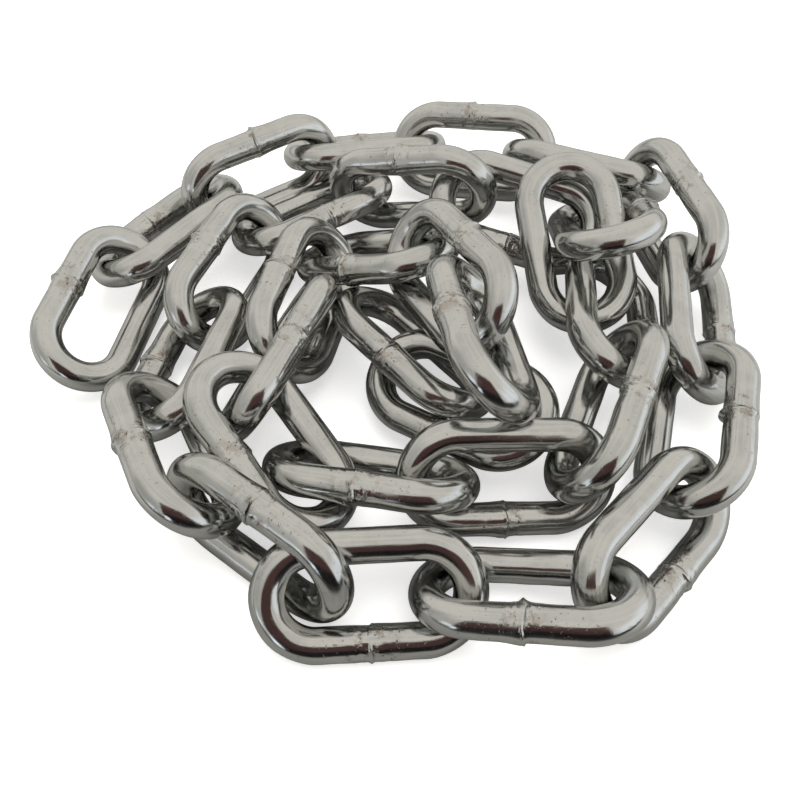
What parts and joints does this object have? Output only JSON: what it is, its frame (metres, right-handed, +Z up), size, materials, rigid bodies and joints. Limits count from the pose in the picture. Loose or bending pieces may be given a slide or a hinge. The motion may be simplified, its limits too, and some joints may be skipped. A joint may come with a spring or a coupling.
{
  "type": "heap of welded steel chain",
  "caption": "Short length of zinc-plated welded chain with oval links, lying in a loose heap of two turns, both ends free.",
  "frame": {"origin": "on the floor, under the middle of the heap's outline", "axes": "+Z up; -Y towards the side the heap is seen from; +X to the right as seen from there"},
  "size_m": [0.1648, 0.1584, 0.042],
  "materials": {
    "zinc_plated_steel": "bright zinc plating, softly polished, with fine scratches, small dents and grey weld marks"
  },
  "bodies": {
    "root": {"link_01": "zinc_plated_steel", "link_02": "zinc_plated_steel", "link_03": "zinc_plated_steel", "link_04": "zinc_plated_steel", "link_05": "zinc_plated_steel", "link_06": "zinc_plated_steel", "link_07": "zinc_plated_steel", "link_08": "zinc_plated_steel", "link_09": "zinc_plated_steel", "link_10": "zinc_plated_steel", "link_11": "zinc_plated_steel", "link_12": "zinc_plated_steel", "link_13": "zinc_plated_steel", "link_14": "zinc_plated_steel", "link_15": "zinc_plated_steel", "link_16": "zinc_plated_steel", "link_17": "zinc_plated_steel", "link_18": "zinc_plated_steel", "link_19": "zinc_plated_steel", "link_20": "zinc_plated_steel", "link_21": "zinc_plated_steel", "link_22": "zinc_plated_steel", "link_23": "zinc_plated_steel", "link_24": "zinc_plated_steel", "link_25": "zinc_plated_steel", "link_26": "zinc_plated_steel", "link_27": "zinc_plated_steel", "link_28": "zinc_plated_steel", "link_29": "zinc_plated_steel", "link_30": "zinc_plated_steel", "link_31": "zinc_plated_steel", "link_32": "zinc_plated_steel", "link_33": "zinc_plated_steel"}
  },
  "joints": []
}
